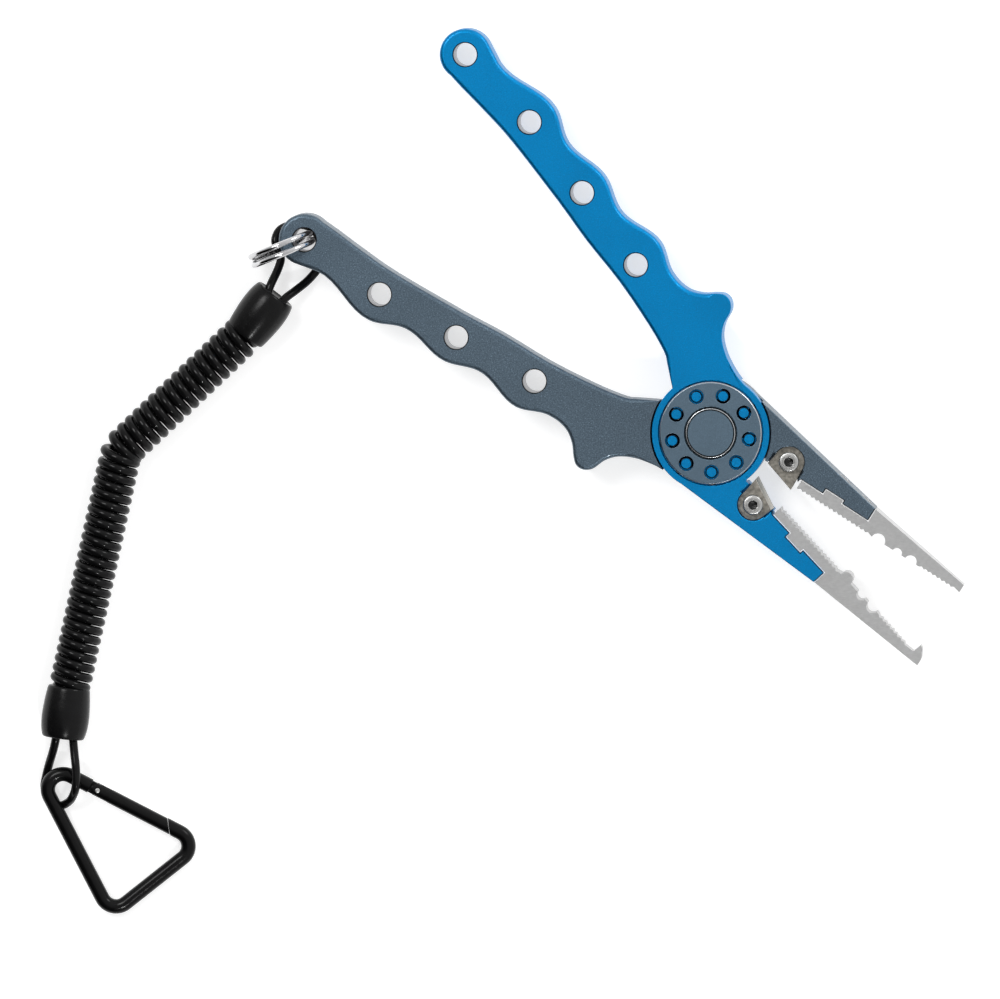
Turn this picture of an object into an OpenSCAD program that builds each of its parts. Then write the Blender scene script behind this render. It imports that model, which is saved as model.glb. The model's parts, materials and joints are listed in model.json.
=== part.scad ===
// Fishing pliers: two half-lapped aluminium levers on one pivot, steel jaw plates, wire cutters,
// and a coiled lanyard with a split ring at one end and a snap hook at the other.
// Frame: the pivot axis is +Z through the origin, the backs of both levers lie on z = 0, and the
// jaws point towards +X. The pliers stand at their open stop. All sizes are in millimetres.

/* [Levers] */
// Thickness of both levers
lever_t = 9.6; // [9.4:0.1:10.4]
// Radius of the round pivot boss of each lever
disc_r = 14.4; // [14.2:0.1:14.6]
// Gap around the other lever's pivot boss
lap_gap = 0.4; // [0.3:0.05:0.5]
// Distance from the pivot to the hole at each handle's end
handle_l = 110.2; // [108:0.1:113]
// Radius of the rounded handle end
handle_end_r = 6.3; // [6:0.1:6.5]
// Radius of the holes through the handles
handle_hole_r = 2.85; // [2.8:0.05:2.95]

/* [Pose] */
// Direction in which the grey lever's closing line points
grey_line = -32.6; // [-35:0.1:-30]
// Angle between the two closing lines at the open stop
opening = 14.4; // [12:0.1:15]
// Angle from the grey jaw's closing line to its handle, past straight
grey_splay = 7.4; // [7:0.1:8]
// Angle from the blue jaw's closing line to its handle, past straight
blue_splay = 9.9; // [9.5:0.1:10.5]

/* [Jaws] */
// Distance from the pivot to the front of the aluminium jaw
jaw_front = 43.8; // [43:0.1:44.5]
// Distance from the pivot to the square tip of the grey jaw plate
grey_tip = 72.1; // [71:0.1:72.3]
// Distance from the pivot to the end of the hooked tip of the blue jaw plate
blue_tip = 76; // [75.9:0.1:76.5]
// Thickness of the jaw plates where the levers hold them
plate_t = 8.6; // [8.2:0.1:9]
// Thickness of the jaw plates at their tips
plate_tip_t = 4.6; // [4:0.1:6]
// Distance between two teeth
tooth_pitch = 1.3; // [1.2:0.05:1.5]
// Depth of a tooth
tooth_depth = 0.45; // [0.3:0.05:0.5]

/* [Pivot] */
// Radius of the round cover plate
cover_r = 12.6; // [12.4:0.05:12.7]
// Number of round windows in the cover plate
windows = 9; // [6:1:10]
// Radius of the circle that the windows lie on
window_circle_r = 9.55; // [9.4:0.05:9.7]
// Radius of each window
window_r = 1.8; // [1.7:0.05:1.9]
// Radius of the bolt's shank
bolt_r = 3.2; // [3:0.05:3.3]
// Radius of the bolt's round head
bolt_head_r = 6.3; // [6.2:0.05:6.35]

/* [Cutters] */
// Distance from the pivot to the cutter screws, along the closing line
cutter_x = 19.9; // [19.7:0.1:20.1]
// Distance from the closing line to the cutter screws
cutter_y = 4.4; // [4.3:0.05:4.5]
// Thickness of the cutter blades
cutter_t = 2.6; // [2.2:0.1:2.8]
// Angle between a cutting edge and its closing line
cutter_tilt = 16.5; // [14:0.5:18]

/* [Lanyard] */
// Diameter of the cord
cord_d = 2.1; // [1.9:0.05:2.2]
// Outside diameter of the coil
coil_d = 10.6; // [10:0.1:11.4]
// Length of the coil from the upper cuff to its bend
coil_upper_l = 41.6; // [38:0.1:46]
// Length of the coil from its bend to the lower cuff
coil_lower_l = 59.6; // [55:0.1:65]
// Largest diameter of the two cuffs
cuff_d = 11.8; // [11.6:0.1:12]
// Length of the two cuffs
cuff_l = 12.9; // [12:0.1:14]
// Outside diameter of the split ring
ring_d = 17; // [16.8:0.1:17.2]
// Diameter of the split ring's wire
ring_wire_d = 1.3; // [1.2:0.05:1.35]
// Diameter of the snap hook's wire
hook_wire_d = 3.6; // [3.2:0.1:3.6]

/* [Hidden] */
$fn = 72;

blue = [0.02, 0.46, 0.72];
slate = [0.33, 0.38, 0.44];
steel = [0.70, 0.70, 0.69];
hard_metal = [0.55, 0.51, 0.46];
bright = [0.82, 0.82, 0.82];
bronze = [0.70, 0.52, 0.28];
black = [0.06, 0.06, 0.07];

fit = 0.05;                         // gap between pieces that are fixed together
lap = 0.15;                         // half of the gap between the two pivot bosses
mid_z = lever_t / 2;
lap_r = disc_r + lap_gap;
over = 1;                           // how far a cutter runs past the face that it cuts

// Pivot stack, from the back to the front
nut_r = 6.2;
nut_t = 2.1;
spanner_hole_r = 0.75;
spanner_hole_x = 4.6;
bushing_r = 4.4;
spring_floor = 3;                   // floor of the spring's pocket in the grey boss
spring_roof = lever_t - 2.4;        // roof of the spring's pocket in the blue boss
spring_pocket_in = 5.4;
spring_pocket_out = 8.5;
spring_wire_r = 0.6;
spring_r = 6.6;
spring_leg_r = 7.7;                 // distance of the spring's two bent ends from the axis
spring_turns = 2.25;
spring_start = 40;
spring_end = spring_start + 360 * spring_turns;
spring_gap = 0.05;                  // room above and below the spring
head_seat = lever_t - 1.7;          // seat of the bolt's neck in the blue boss
cover_seat = lever_t - 1;           // floor of the recess for the cover
cover_top = lever_t + 0.3;
cover_bore_r = 6.5;
first_window = -88.6;               // direction of one window; the others follow evenly
cover_lip = cover_seat + 0.42;      // top of the lip that the bolt's head holds down
neck_r = 5.5;
stud_r = 1.45;
washer_in = 10.8;
washer_out = 14;
stop_r = 9.8;                       // radius at which the stop lug runs
stop_w = 1.0;
stop_half = 6;                      // half of the lug's angle
stop_at = 215;                      // direction of the lug at the open stop

// Jaw
jaw_inner = 1.6;                    // inner edge of the aluminium beside the cutter
plate_x = 24.9;                     // rear end of the jaw plate
tab_x = [31, 36.4];
tab_y = 3.9;
back_y = [2.5, 2.95];               // back of the plate behind and in front of the tab
front_y = 6.3;                      // outer corner at the front of the aluminium
tip_y = 2.2;
bite = 0.06;                        // distance from a tooth's tip to the closing line
plate_screw_x = [33.7, 41];
plate_screw_r = 1;
plate_screw_head_r = 1.8;
plate_screw_head_t = 1.4;
plate_screw_sink = 2;               // depth of the head's recess
plate_socket_r = 0.85;
teeth_from = plate_x + 0.4;         // teeth behind the notches
teeth_to = 46.6;
tip_teeth_from = 60.4;              // teeth in front of the notches
tip_teeth_to = 71.9;
notches = [[48.6, 1.8], [54.1, 1.2], [58, 1.5]];   // place and radius of each crimping notch

// Cutter
cutter_r = 3.75;
cutter_edge_x = 19.75;              // where the cutting edges cross the closing lines
cutter_z = 5.4;
cutter_seat_gap = 0.1;
cutter_gap = 0.15;
cutter_screw_r = 1.5;
cutter_head_r = 2.45;
cutter_socket_r = 1.44;
cutter_rear = 4.25;                 // ends of the cutting edge, from the screw
cutter_fore = 4.05;
cutter_head_t = lever_t - cutter_z - cutter_t;
grind_w = 0.8;
grind_h = 1.6;

// Lanyard. floor_z is the table that the ring, the coil and the hook lie on.
ring_dir = 202.6;
ring_out = 6.35;                    // ring centre from the end hole's axis
ring_z = 5.9;
floor_z = ring_z - ring_d / 2;
lanyard_z = floor_z + cuff_d / 2;
cord_r = cord_d / 2;
coil_r = coil_d / 2;
cuff_top = [-107.2, 33.3];
upper_cuff_dir = 232.6;
upper_coil_dir = 223;
lower_coil_dir = 257.2;
lower_cuff_dir = 263;
bend_gap = 3;                       // room left at the coil's bend
upper_cuff_gap = 1.2;               // room left where the coil meets the two cuffs
lower_cuff_gap = 0.8;

// Snap hook: a rounded triangle of wire, closed by a sprung gate
hook_r = hook_wire_d / 2;
hook_bend = 3.8;
hook_eye = [-160.2, -89.1];
hook_heel = [-147.3, -114.3];
hook_toe = [-133.2, -103.1];
hook_z = floor_z + cord_d + hook_r + 0.25;
hook_lean = 3.9;                    // tilt of the hook, whose toe touches the table
gate_pin_r = 0.6;
gate_tongue_t = 1.2;
gate_from = 7.6;                    // gate pin from the eye's centre, along the gate side
gate_to = norm(hook_toe - hook_eye) - 3.2;
gate_r = hook_r - 0.1;
tongue_r = 1.5;
nose_slant = 35;

// Helpers

function direction(a) = [cos(a), sin(a)];
function heading(v) = atan2(v[1], v[0]);
function unit(v) = v / norm(v);
function arc(c, r, a0, a1, n) = [for (i = [0:n]) c + r * direction(a0 + (a1 - a0) * i / n)];

// Smooth curve through the points p, n steps to a span
function curve_point(a, b, c, d, t) =
    0.5 * (2 * b + (c - a) * t + (2 * a - 5 * b + 4 * c - d) * t * t
        + (3 * b - a - 3 * c + d) * t * t * t);
function curve(p, n) = [
    for (i = [0:len(p) - 2], k = [0:n - (i < len(p) - 2 ? 1 : 0)])
        curve_point(p[max(i - 1, 0)], p[i], p[i + 1], p[min(i + 2, len(p) - 1)], k / n)
];

// Wave between crests and troughs: half a cosine from each point to the next
function wave(p, n) = [
    for (i = [0:len(p) - 2], k = [1:n])
        [p[i][0] + (p[i + 1][0] - p[i][0]) * k / n,
         p[i][1] + (p[i + 1][1] - p[i][1]) * (1 - cos(180 * k / n)) / 2]
];

// Round tube along the points p: the section's frame is carried along without twist
function tangent(p, i) = unit(p[min(i + 1, len(p) - 1)] - p[max(i - 1, 0)]);
function square_to(v, t) = unit(v - t * (v * t));
function sides_along(p, start) = [
    for (i = 0, s = square_to(start, tangent(p, 0)); i < len(p);
         i = i + 1, s = square_to(s, tangent(p, i))) s
];
module tube(p, r, start = [0, 0, 1], sides = 10) {
    s = sides_along(p, start);
    skin = [
        for (i = [0:len(p) - 1], k = [0:sides - 1])
            p[i] + r * (cos(360 * k / sides) * s[i]
                + sin(360 * k / sides) * cross(tangent(p, i), s[i]))
    ];
    last = (len(p) - 1) * sides;
    walls = [
        for (i = [0:len(p) - 2], k = [0:sides - 1])
            let (a = i * sides + k, b = i * sides + (k + 1) % sides)
            [a, a + sides, b + sides, b]
    ];
    polyhedron(
        points = skin,
        faces = concat(walls, [[for (k = [0:sides - 1]) k]],
            [[for (k = [sides - 1:-1:0]) last + k]]),
        convexity = 10
    );
}

module ring_slab(r_in, r_out, z0, z1) {
    translate([0, 0, z0])
        difference() {
            cylinder(r = r_out, h = z1 - z0);
            translate([0, 0, -over]) cylinder(r = r_in, h = z1 - z0 + 2 * over);
        }
}

// A lever is drawn with its closing line along +X and its own jaw on the +Y side
module place_grey() { rotate(grey_line) children(); }
module place_blue() { rotate(grey_line - opening) mirror([0, 1, 0]) children(); }
// The handle runs along +X, with its finger side towards -Y
module handle_frame(splay) { rotate(180 + splay) mirror([0, 1, 0]) children(); }

// Levers

grip_holes = [[44.4, -7.05], [66.3, -5.6], [87.8, -4.2], [handle_l, 0]];
neck = [
    [0.9, -14.2], [6.6, -13.2], [10.1, -13.1], [14.2, -13.6], [18, -15], [20.6, -17.3],
    [22.3, -20.3], [24.4, -21.6], [26.5, -21.3], [28, -19.6], [29.6, -17], [32, -14.7],
    [35, -13.5], [37.8, -13.2]
];
finger_waves = [
    [37.8, -13.2], [45.7, -14.8], [58, -10.8], [66.5, -12.2], [78.5, -9.1], [87.5, -11.1],
    [104, -5.7]
];
inner_edge = [
    [104, 5.2], [95, 3.4], [86, 2], [68, 0.5], [56, -0.1], [43, -1.4], [30, -1.65],
    [22.8, -1.2], [20.6, -0.5]
];

module handle_plan() {
    difference() {
        polygon(concat(
            [[0, 0]],
            curve(neck, 4),
            wave(finger_waves, 8),
            arc([handle_l, 0], handle_end_r, -92, 112, 24),
            curve(inner_edge, 3),
            [[14.6, 1.75], [12, 2.7]]
        ));
        for (h = grip_holes) translate(h) circle(r = handle_hole_r);
    }
}

// The jaw's outer edge leaves the boss almost along its tangent
jaw_root_r = disc_r - 0.1;
jaw_lean = heading([jaw_front, front_y]) + acos(jaw_root_r / norm([jaw_front, front_y]));

// Distance from the closing line to the outer edge of the aluminium jaw at x
function outer_y(x) = front_y + (jaw_front - x) / tan(jaw_lean);

module jaw_plan() {
    polygon([
        [6, jaw_inner], [4, disc_r - 4], jaw_root_r * direction(jaw_lean), [jaw_front, front_y],
        [jaw_front, back_y[1]], [tab_x[1], back_y[1]], [tab_x[1], tab_y], [tab_x[0], tab_y],
        [tab_x[0], back_y[0]], [plate_x, back_y[0]], [plate_x - 0.5, back_y[0] - 0.3],
        [plate_x - 0.5, jaw_inner]
    ]);
}

module lever_blank(splay) {
    cylinder(r = disc_r, h = lever_t);
    linear_extrude(lever_t) {
        handle_frame(splay) handle_plan();
        jaw_plan();
    }
}

module cutter_pocket() {
    translate([0, 0, cutter_z])
        linear_extrude(lever_t) {
            translate([cutter_x, cutter_y]) circle(r = cutter_r + cutter_seat_gap);
            translate([cutter_x - cutter_rear - cutter_gap, -over])
                square([cutter_rear + cutter_fore + 2 * cutter_gap, cutter_y + over]);
        }
    translate([cutter_x, cutter_y, over]) cylinder(r = cutter_screw_r + 0.03, h = lever_t);
}

module plate_screw_holes() {
    for (x = plate_screw_x)
        translate([x, 0, mid_z])
            rotate([-90, 0, 0]) {
                cylinder(r = plate_screw_r + fit, h = outer_y(x) + over);
                translate([0, 0, outer_y(x) - plate_screw_sink])
                    cylinder(r = plate_screw_head_r + fit, h = 2 * plate_screw_sink);
            }
}

module stop_arc(r_half, a0, a1, z0, z1) {
    rotate(a0)
        rotate_extrude(angle = a1 - a0)
            translate([stop_r - r_half, z0]) square([2 * r_half, z1 - z0]);
}

// Holes for the spring's two bent ends, in the directions a
module spring_leg_hole(a, z) {
    rotate(a) translate([spring_leg_r, 0, z]) cylinder(r = spring_wire_r + 0.1, h = 2, $fn = 24);
}

module grey_lever() {
    color(slate)
        difference() {
            place_grey()
                difference() {
                    lever_blank(grey_splay);
                    cutter_pocket();
                    plate_screw_holes();
                }
            translate([0, 0, mid_z - lap]) cylinder(r = lap_r, h = lever_t, $fn = 120);
            translate([0, 0, -over]) cylinder(r = bolt_r + fit, h = lever_t);
            translate([0, 0, -over]) cylinder(r = nut_r + fit, h = nut_t + fit + over);
            ring_slab(spring_pocket_in, spring_pocket_out, spring_floor, lever_t);
            stop_arc(stop_w / 2 + 0.1, stop_at - stop_half - 0.3,
                stop_at + stop_half + opening + 0.8, mid_z - 1.4, lever_t);
            spring_leg_hole(spring_start, spring_floor - 1.9);
        }
}

module window_places() {
    for (i = [0:windows - 1])
        rotate(first_window + i * 360 / windows) translate([window_circle_r, 0, 0]) children();
}

module blue_lever() {
    color(blue) {
        difference() {
            place_blue()
                difference() {
                    lever_blank(blue_splay);
                    cutter_pocket();
                    plate_screw_holes();
                }
            translate([0, 0, -lever_t + mid_z + lap]) cylinder(r = lap_r, h = lever_t, $fn = 120);
            cylinder(r = bushing_r + 0.02, h = lever_t + over);
            ring_slab(spring_pocket_in, spring_pocket_out, 0, spring_roof);
            translate([0, 0, head_seat]) cylinder(r = neck_r + 0.1, h = lever_t);
            translate([0, 0, cover_seat]) cylinder(r = cover_r + 0.3, h = lever_t);
            spring_leg_hole(spring_end, spring_roof - 0.7);
        }
        window_places() translate([0, 0, cover_seat - 0.3])
            cylinder(r = stud_r, h = cover_top - cover_seat + 0.1);
        stop_arc(stop_w / 2, stop_at - stop_half, stop_at + stop_half, mid_z - 1.2, mid_z + 0.6);
    }
}

// Jaw plates

// Teeth from x0 to x1, each a small V between two tips
function teeth(x0, x1) = [
    for (i = [0:floor((x1 - x0) / tooth_pitch) - 1], k = [0, 1])
        [x0 + (i + k / 2) * tooth_pitch, bite + k * tooth_depth]
];

// The notch nearest the pivot is a notch on the grey plate and a round nib on the blue one
module plate_plan(tip, nib) {
    if (nib) translate([notches[0][0], 0]) circle(r = notches[0][1] - 0.15, $fn = 48);
    difference() {
        polygon(concat(
            [[plate_x + fit, back_y[0] - fit], [plate_x + fit, bite]],
            teeth(teeth_from, teeth_to),
            [[teeth_to, bite], [tip_teeth_from - 0.2, bite]],
            teeth(tip_teeth_from, tip_teeth_to),
            tip,
            [[jaw_front + fit, front_y - fit], [jaw_front + fit, back_y[1] - fit],
             [tab_x[1] - fit, back_y[1] - fit], [tab_x[1] - fit, tab_y - fit],
             [tab_x[0] + fit, tab_y - fit], [tab_x[0] + fit, back_y[0] - fit]]
        ));
        for (i = [nib ? 1 : 0:len(notches) - 1])
            translate([notches[i][0], 0]) circle(r = notches[i][1], $fn = 48);
    }
}

// The plate from the side: level in the lever, tapered towards the tip
module plate_side() {
    translate([0, 20, 0])
        rotate([90, 0, 0])
            linear_extrude(40)
                polygon([
                    [plate_x - 1, mid_z - plate_t / 2], [jaw_front + 2, mid_z - plate_t / 2],
                    [blue_tip + 1, mid_z - plate_tip_t / 2], [blue_tip + 1, mid_z + plate_tip_t / 2],
                    [jaw_front + 2, mid_z + plate_t / 2], [plate_x - 1, mid_z + plate_t / 2]
                ]);
}

module jaw_plate(tip, nib) {
    color(steel)
        difference() {
            intersection() {
                linear_extrude(lever_t) plate_plan(tip, nib);
                plate_side();
            }
            for (x = plate_screw_x)
                translate([x, over, mid_z])
                    rotate([-90, 0, 0]) cylinder(r = plate_screw_r + fit, h = front_y);
        }
}

module grey_jaw_plate() {
    place_grey() jaw_plate([[grey_tip, bite], [grey_tip, tip_y]], false);
}

module blue_jaw_plate() {
    place_blue()
        jaw_plate([
            [72.8, bite], [72.9, -2.3], [73.8, -2], [75.4, -0.2], [blue_tip, tip_y - 0.5],
            [blue_tip - 0.7, tip_y - 0.3]
        ], true);
}

module plate_screws() {
    color(bright)
        for (x = plate_screw_x)
            translate([x, 0, mid_z])
                rotate([-90, 0, 0])
                    difference() {
                        union() {
                            translate([0, 0, over + 0.1])
                                cylinder(r = plate_screw_r, h = outer_y(x) - over - 1.2);
                            translate([0, 0, outer_y(x) - plate_screw_sink + fit])
                                cylinder(r = plate_screw_head_r, h = plate_screw_head_t);
                        }
                        translate([0, 0, outer_y(x) - plate_screw_head_t])
                            cylinder(r = plate_socket_r, h = plate_screw_sink, $fn = 6);
                    }
}

module grey_plate_screws() { place_grey() plate_screws(); }
module blue_plate_screws() { place_blue() plate_screws(); }

// Cutters

// side is 1 where the cutting edge falls towards the jaw's tip, -1 where it rises
module cutter(side, ground_top) {
    slope = -side * tan(cutter_tilt);
    left = cutter_x - cutter_rear;
    right = cutter_x + cutter_fore;
    left_y = slope * (left - cutter_edge_x) + bite;
    right_y = slope * (right - cutter_edge_x) + bite;
    edge_z = ground_top ? cutter_t : 0;
    drop = ground_top ? -grind_h : grind_h;
    color(hard_metal)
        translate([0, 0, cutter_z])
            difference() {
                linear_extrude(cutter_t) {
                    translate([cutter_x, cutter_y]) circle(r = cutter_r);
                    polygon([
                        [left, left_y], [right, right_y], [cutter_x + cutter_r, cutter_y],
                        [cutter_x - cutter_r, cutter_y]
                    ]);
                }
                translate([cutter_x, cutter_y, -over])
                    cylinder(r = cutter_screw_r + 0.1, h = cutter_t + 2 * over);
                translate([left, left_y, edge_z])
                    rotate(-side * cutter_tilt)
                        translate([-over, 0, 0])
                            rotate([90, 0, 90])
                                linear_extrude(12)
                                    polygon([[-over, drop], [0, drop], [grind_w, 0],
                                        [grind_w, -drop], [-over, -drop]]);
            }
}

module cutter_screw() {
    color(bright)
        translate([cutter_x, cutter_y, 0])
            difference() {
                union() {
                    translate([0, 0, over + 0.3])
                        cylinder(r = cutter_screw_r, h = cutter_z + cutter_t - over);
                    translate([0, 0, cutter_z + cutter_t])
                        cylinder(r = cutter_head_r, h = cutter_head_t);
                }
                translate([0, 0, cutter_z + cutter_t + 0.4])
                    cylinder(r = cutter_socket_r, h = cutter_head_t, $fn = 6);
            }
}

module grey_cutter() { place_grey() cutter(1, false); }
module blue_cutter() { place_blue() cutter(-1, true); }
module grey_cutter_screw() { place_grey() cutter_screw(); }
module blue_cutter_screw() { place_blue() cutter_screw(); }

// Pivot

module pivot_cover() {
    color(slate)
        difference() {
            rotate_extrude()
                polygon([
                    [neck_r + 0.1, cover_seat], [cover_r, cover_seat], [cover_r, cover_top - 0.3],
                    [cover_r - 0.3, cover_top], [cover_bore_r, cover_top],
                    [cover_bore_r, cover_lip],
                    [neck_r + 0.1, cover_lip]
                ]);
            window_places() translate([0, 0, cover_seat - over]) cylinder(r = window_r, h = 4);
        }
}

module pivot_bolt() {
    color(slate)
        rotate_extrude()
            polygon([
                [0, 0.9], [bolt_r - 0.3, 0.9], [bolt_r, 1.2], [bolt_r, head_seat + fit],
                [neck_r, head_seat + fit], [neck_r, cover_lip + 0.04],
                [bolt_head_r, cover_lip + 0.04], [bolt_head_r, cover_top - 0.35],
                [bolt_head_r - 0.4, cover_top], [0, cover_top]
            ]);
}

module pivot_nut() {
    color(slate)
        difference() {
            cylinder(r = nut_r, h = nut_t);
            translate([0, 0, 0.85]) cylinder(r = bolt_r + fit, h = nut_t);
            for (x = [-spanner_hole_x, spanner_hole_x])
                translate([x, 0, -over]) cylinder(r = spanner_hole_r, h = over + 1, $fn = 24);
        }
}

module pivot_bushing() {
    color(bronze) ring_slab(bolt_r + 0.05, bushing_r, mid_z + lap + fit, head_seat);
}

module friction_washer() {
    color("white") ring_slab(washer_in, washer_out, mid_z - lap + 0.02, mid_z + lap - 0.02);
}

module torsion_spring() {
    z0 = spring_floor + spring_wire_r + spring_gap;
    z1 = spring_roof - spring_wire_r - spring_gap;
    steps = 16 * spring_turns;
    coil = [
        for (i = [1:steps - 1])
            let (a = spring_start + (spring_end - spring_start) * i / steps)
            [spring_r * cos(a), spring_r * sin(a), z0 + (z1 - z0) * i / steps]
    ];
    foot = spring_leg_r * direction(spring_start);
    head = spring_leg_r * direction(spring_end);
    color(bright)
        tube(concat(
            [[foot[0], foot[1], z0 - 1.7], [foot[0], foot[1], z0 - 0.4],
             [foot[0] * 0.98, foot[1] * 0.98, z0 - 0.05]],
            coil,
            [[head[0] * 0.98, head[1] * 0.98, z1 + 0.05], [head[0], head[1], z1 + 0.4],
             [head[0], head[1], z1 + 1]]
        ), spring_wire_r, start = [1, 0, 0], sides = 8);
}

// Lanyard

end_hole = handle_l * direction(grey_line + 180 + grey_splay);

// The ring's frame: +X runs out from the end hole, +Z is the split ring's up
module ring_frame() { translate(end_hole) rotate(ring_dir) children(); }

// Two turns of wire side by side; they change places where the second turn starts
module split_ring() {
    r = (ring_d - ring_wire_d) / 2;
    half = ring_wire_d / 2 + 0.03;
    split_at = 60;
    color(bright)
        ring_frame()
            tube([
                for (a = [24:12:696])
                    let (side = max(-1, min(1, (a - 360) / 22)), b = a + split_at)
                    [ring_out + r * cos(b), side * half, ring_z + r * sin(b)]
            ], ring_wire_d / 2, start = [0, 1, 0]);
}

// The cord goes through the ring beside the handle's end, passes under the end hole and returns
upper_loop = [
    [14.4, 9.2, 3.4], [12.6, 7.1, 3], [9.7, 4.3, 1.3], [8.1, 2.1, 0.1], [7.95, -0.3, -0.02],
    [7.6, -2.7, -0.2], [5.6, -4.5, -1.12], [2.4, -4.4, -1.2], [-0.9, -2.7, -1.2],
    [-2.3, 0.2, -1.2], [-1.7, 3.6, -1.2], [0, 7.2, -1.2], [3.6, 9.4, -0.8], [7.2, 10.6, 1],
    [10.5, 11.5, 2.8], [12.3, 12.5, 3.4]
];

module upper_cord_loop() {
    color(black) ring_frame() tube(curve(upper_loop, 4), cord_r, sides = 10);
}

// A cuff stands on +Z, with the loop's end at the bottom; it is a shallow barrel
module cuff() {
    r = cuff_d / 2;
    color(black)
        rotate_extrude()
            polygon(concat(
                [[0, 0], [r - 1.6, 0], [r - 1.1, 0.3]],
                wave([[r - 0.9, 0.8], [r, cuff_l * 0.45], [r - 0.3, cuff_l - 0.4]], 6),
                [[r - 0.7, cuff_l], [0, cuff_l]]
            ));
}

// The lanyard lies flat: +X runs from p in the direction a
module along_lanyard(p, a) { translate([p[0], p[1], lanyard_z]) rotate(a) children(); }
// The same for a piece that is drawn standing on +Z
module lanyard_run(p, a) { along_lanyard(p, a) rotate([0, 90, 0]) children(); }

cuff_end = cuff_top + cuff_l * direction(upper_cuff_dir);
coil_bend = cuff_end + coil_upper_l * direction(upper_coil_dir);
coil_end = coil_bend + coil_lower_l * direction(lower_coil_dir);
lower_cuff_end = coil_end + cuff_l * direction(lower_cuff_dir);

module upper_cuff() { lanyard_run(cuff_top, upper_cuff_dir) cuff(); }

module coil_upper() {
    color(black)
        lanyard_run(cuff_end, upper_coil_dir)
            ring_slab(coil_r - cord_d, coil_r, upper_cuff_gap, coil_upper_l - bend_gap);
}

module coil_lower() {
    color(black)
        lanyard_run(coil_bend, lower_coil_dir)
            ring_slab(coil_r - cord_d, coil_r, bend_gap, coil_lower_l - lower_cuff_gap);
}

module lower_cuff() {
    color(black)
        lanyard_run(lower_cuff_end, lower_cuff_dir) rotate([180, 0, 0]) cuff();
}

// The cord passes under the hook's long side and over its gate side, close to the eye
lower_loop = [
    [-2.2, -1.5, 0], [0.9, -1.6, -0.2], [4, -2.1, -1.7], [7, -2.8, -3.7], [10.2, -3.3, -4.7],
    [13, -3.4, -4.8], [15.5, -2.4, -4.8], [17, -0.4, -4.8], [17, 1.4, -4.6], [15.8, 3.1, -3.3],
    [14.1, 4.2, -0.9], [11.4, 4.9, 1.4], [7.4, 4.5, 1.5], [2.9, 3.4, 0.6], [-0.2, 2.7, 0.1],
    [-2.2, 2.4, 0]
];

module lower_cord_loop() {
    color(black)
        along_lanyard(lower_cuff_end, lower_cuff_dir)
            tube(curve(lower_loop, 4), cord_r, sides = 10);
}

// Snap hook

gate_side = heading(hook_toe - hook_eye);

// The hook's frame: origin at the eye's centre, +X along the gate side, leaned onto the table
module hook_frame() {
    translate([hook_eye[0], hook_eye[1], hook_z])
        rotate(gate_side)
            rotate([0, hook_lean, 0])
                children();
}

// Corner of the hook's triangle in the hook's frame
function hook_corner(p) = let (v = p - hook_eye, r = norm(v), a = heading(v) - gate_side)
    r * direction(a);

module hook_wire() {
    heel = hook_corner(hook_heel);
    toe = hook_corner(hook_toe);
    eye = [0, 0];
    heel_in = heading(heel - eye) - 90;
    toe_in = heading(toe - heel) - 90;
    path = concat(
        [[gate_from - gate_r - 0.2, hook_bend]],
        arc(eye, hook_bend, 90, 360 + heel_in, 14),
        arc(heel, hook_bend, heel_in, toe_in, 10),
        arc(toe, hook_bend, toe_in, 90, 10),
        [[gate_to - 2, hook_bend]]
    );
    tube([for (p = path) [p[0], p[1], 0]], hook_r, sides = 14);
}

// Flat tongue at the end of the wire, around the gate pin
module gate_tongue() {
    translate([0, 0, -gate_tongue_t / 2])
        linear_extrude(gate_tongue_t)
            translate([gate_from, hook_bend]) {
                circle(r = tongue_r, $fn = 32);
                translate([-gate_r - 1, -tongue_r]) square([gate_r + 1, 2 * tongue_r]);
            }
}

module gate_pin_shape(r) {
    translate([gate_from, hook_bend, -gate_r]) cylinder(r = r, h = 2 * gate_r, $fn = 32);
}

// The nose and the gate meet on a slant, so that the gate opens only inwards
module at_nose() { translate([gate_to, hook_bend, 0]) rotate(nose_slant) children(); }

module snap_hook() {
    color(black)
        hook_frame()
            difference() {
                union() {
                    hook_wire();
                    gate_tongue();
                }
                gate_pin_shape(gate_pin_r + 0.03);
                at_nose() translate([-4, -3, -3]) cube([4.15, 6, 6]);
            }
}

module snap_gate() {
    color(black)
        hook_frame()
            difference() {
                union() {
                    translate([gate_from, hook_bend, 0])
                        rotate([0, 90, 0]) cylinder(r = gate_r, h = gate_to - gate_from + 2);
                    intersection() {
                        translate([gate_from - gate_r, hook_bend, 0])
                            rotate([0, 90, 0]) cylinder(r = gate_r, h = 2 * gate_r);
                        gate_pin_shape(gate_r);
                    }
                }
                gate_pin_shape(gate_pin_r + 0.03);
                translate([gate_from - 2 * gate_r, 0, -gate_tongue_t / 2 - 0.1])
                    cube([4 * gate_r, 2 * hook_bend, gate_tongue_t + 0.2]);
                at_nose() translate([0, -5, -5]) cube(10);
            }
}

module gate_pin() { color(bright) hook_frame() gate_pin_shape(gate_pin_r); }

grey_lever();
blue_lever();
grey_jaw_plate();
blue_jaw_plate();
grey_plate_screws();
blue_plate_screws();
grey_cutter();
blue_cutter();
grey_cutter_screw();
blue_cutter_screw();
pivot_cover();
pivot_bolt();
pivot_nut();
pivot_bushing();
friction_washer();
torsion_spring();
split_ring();
upper_cord_loop();
upper_cuff();
coil_upper();
coil_lower();
lower_cuff();
lower_cord_loop();
snap_hook();
snap_gate();
gate_pin();
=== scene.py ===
"""Fishing pliers: the looks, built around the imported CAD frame. Lengths are in metres."""
import json
import math

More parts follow.
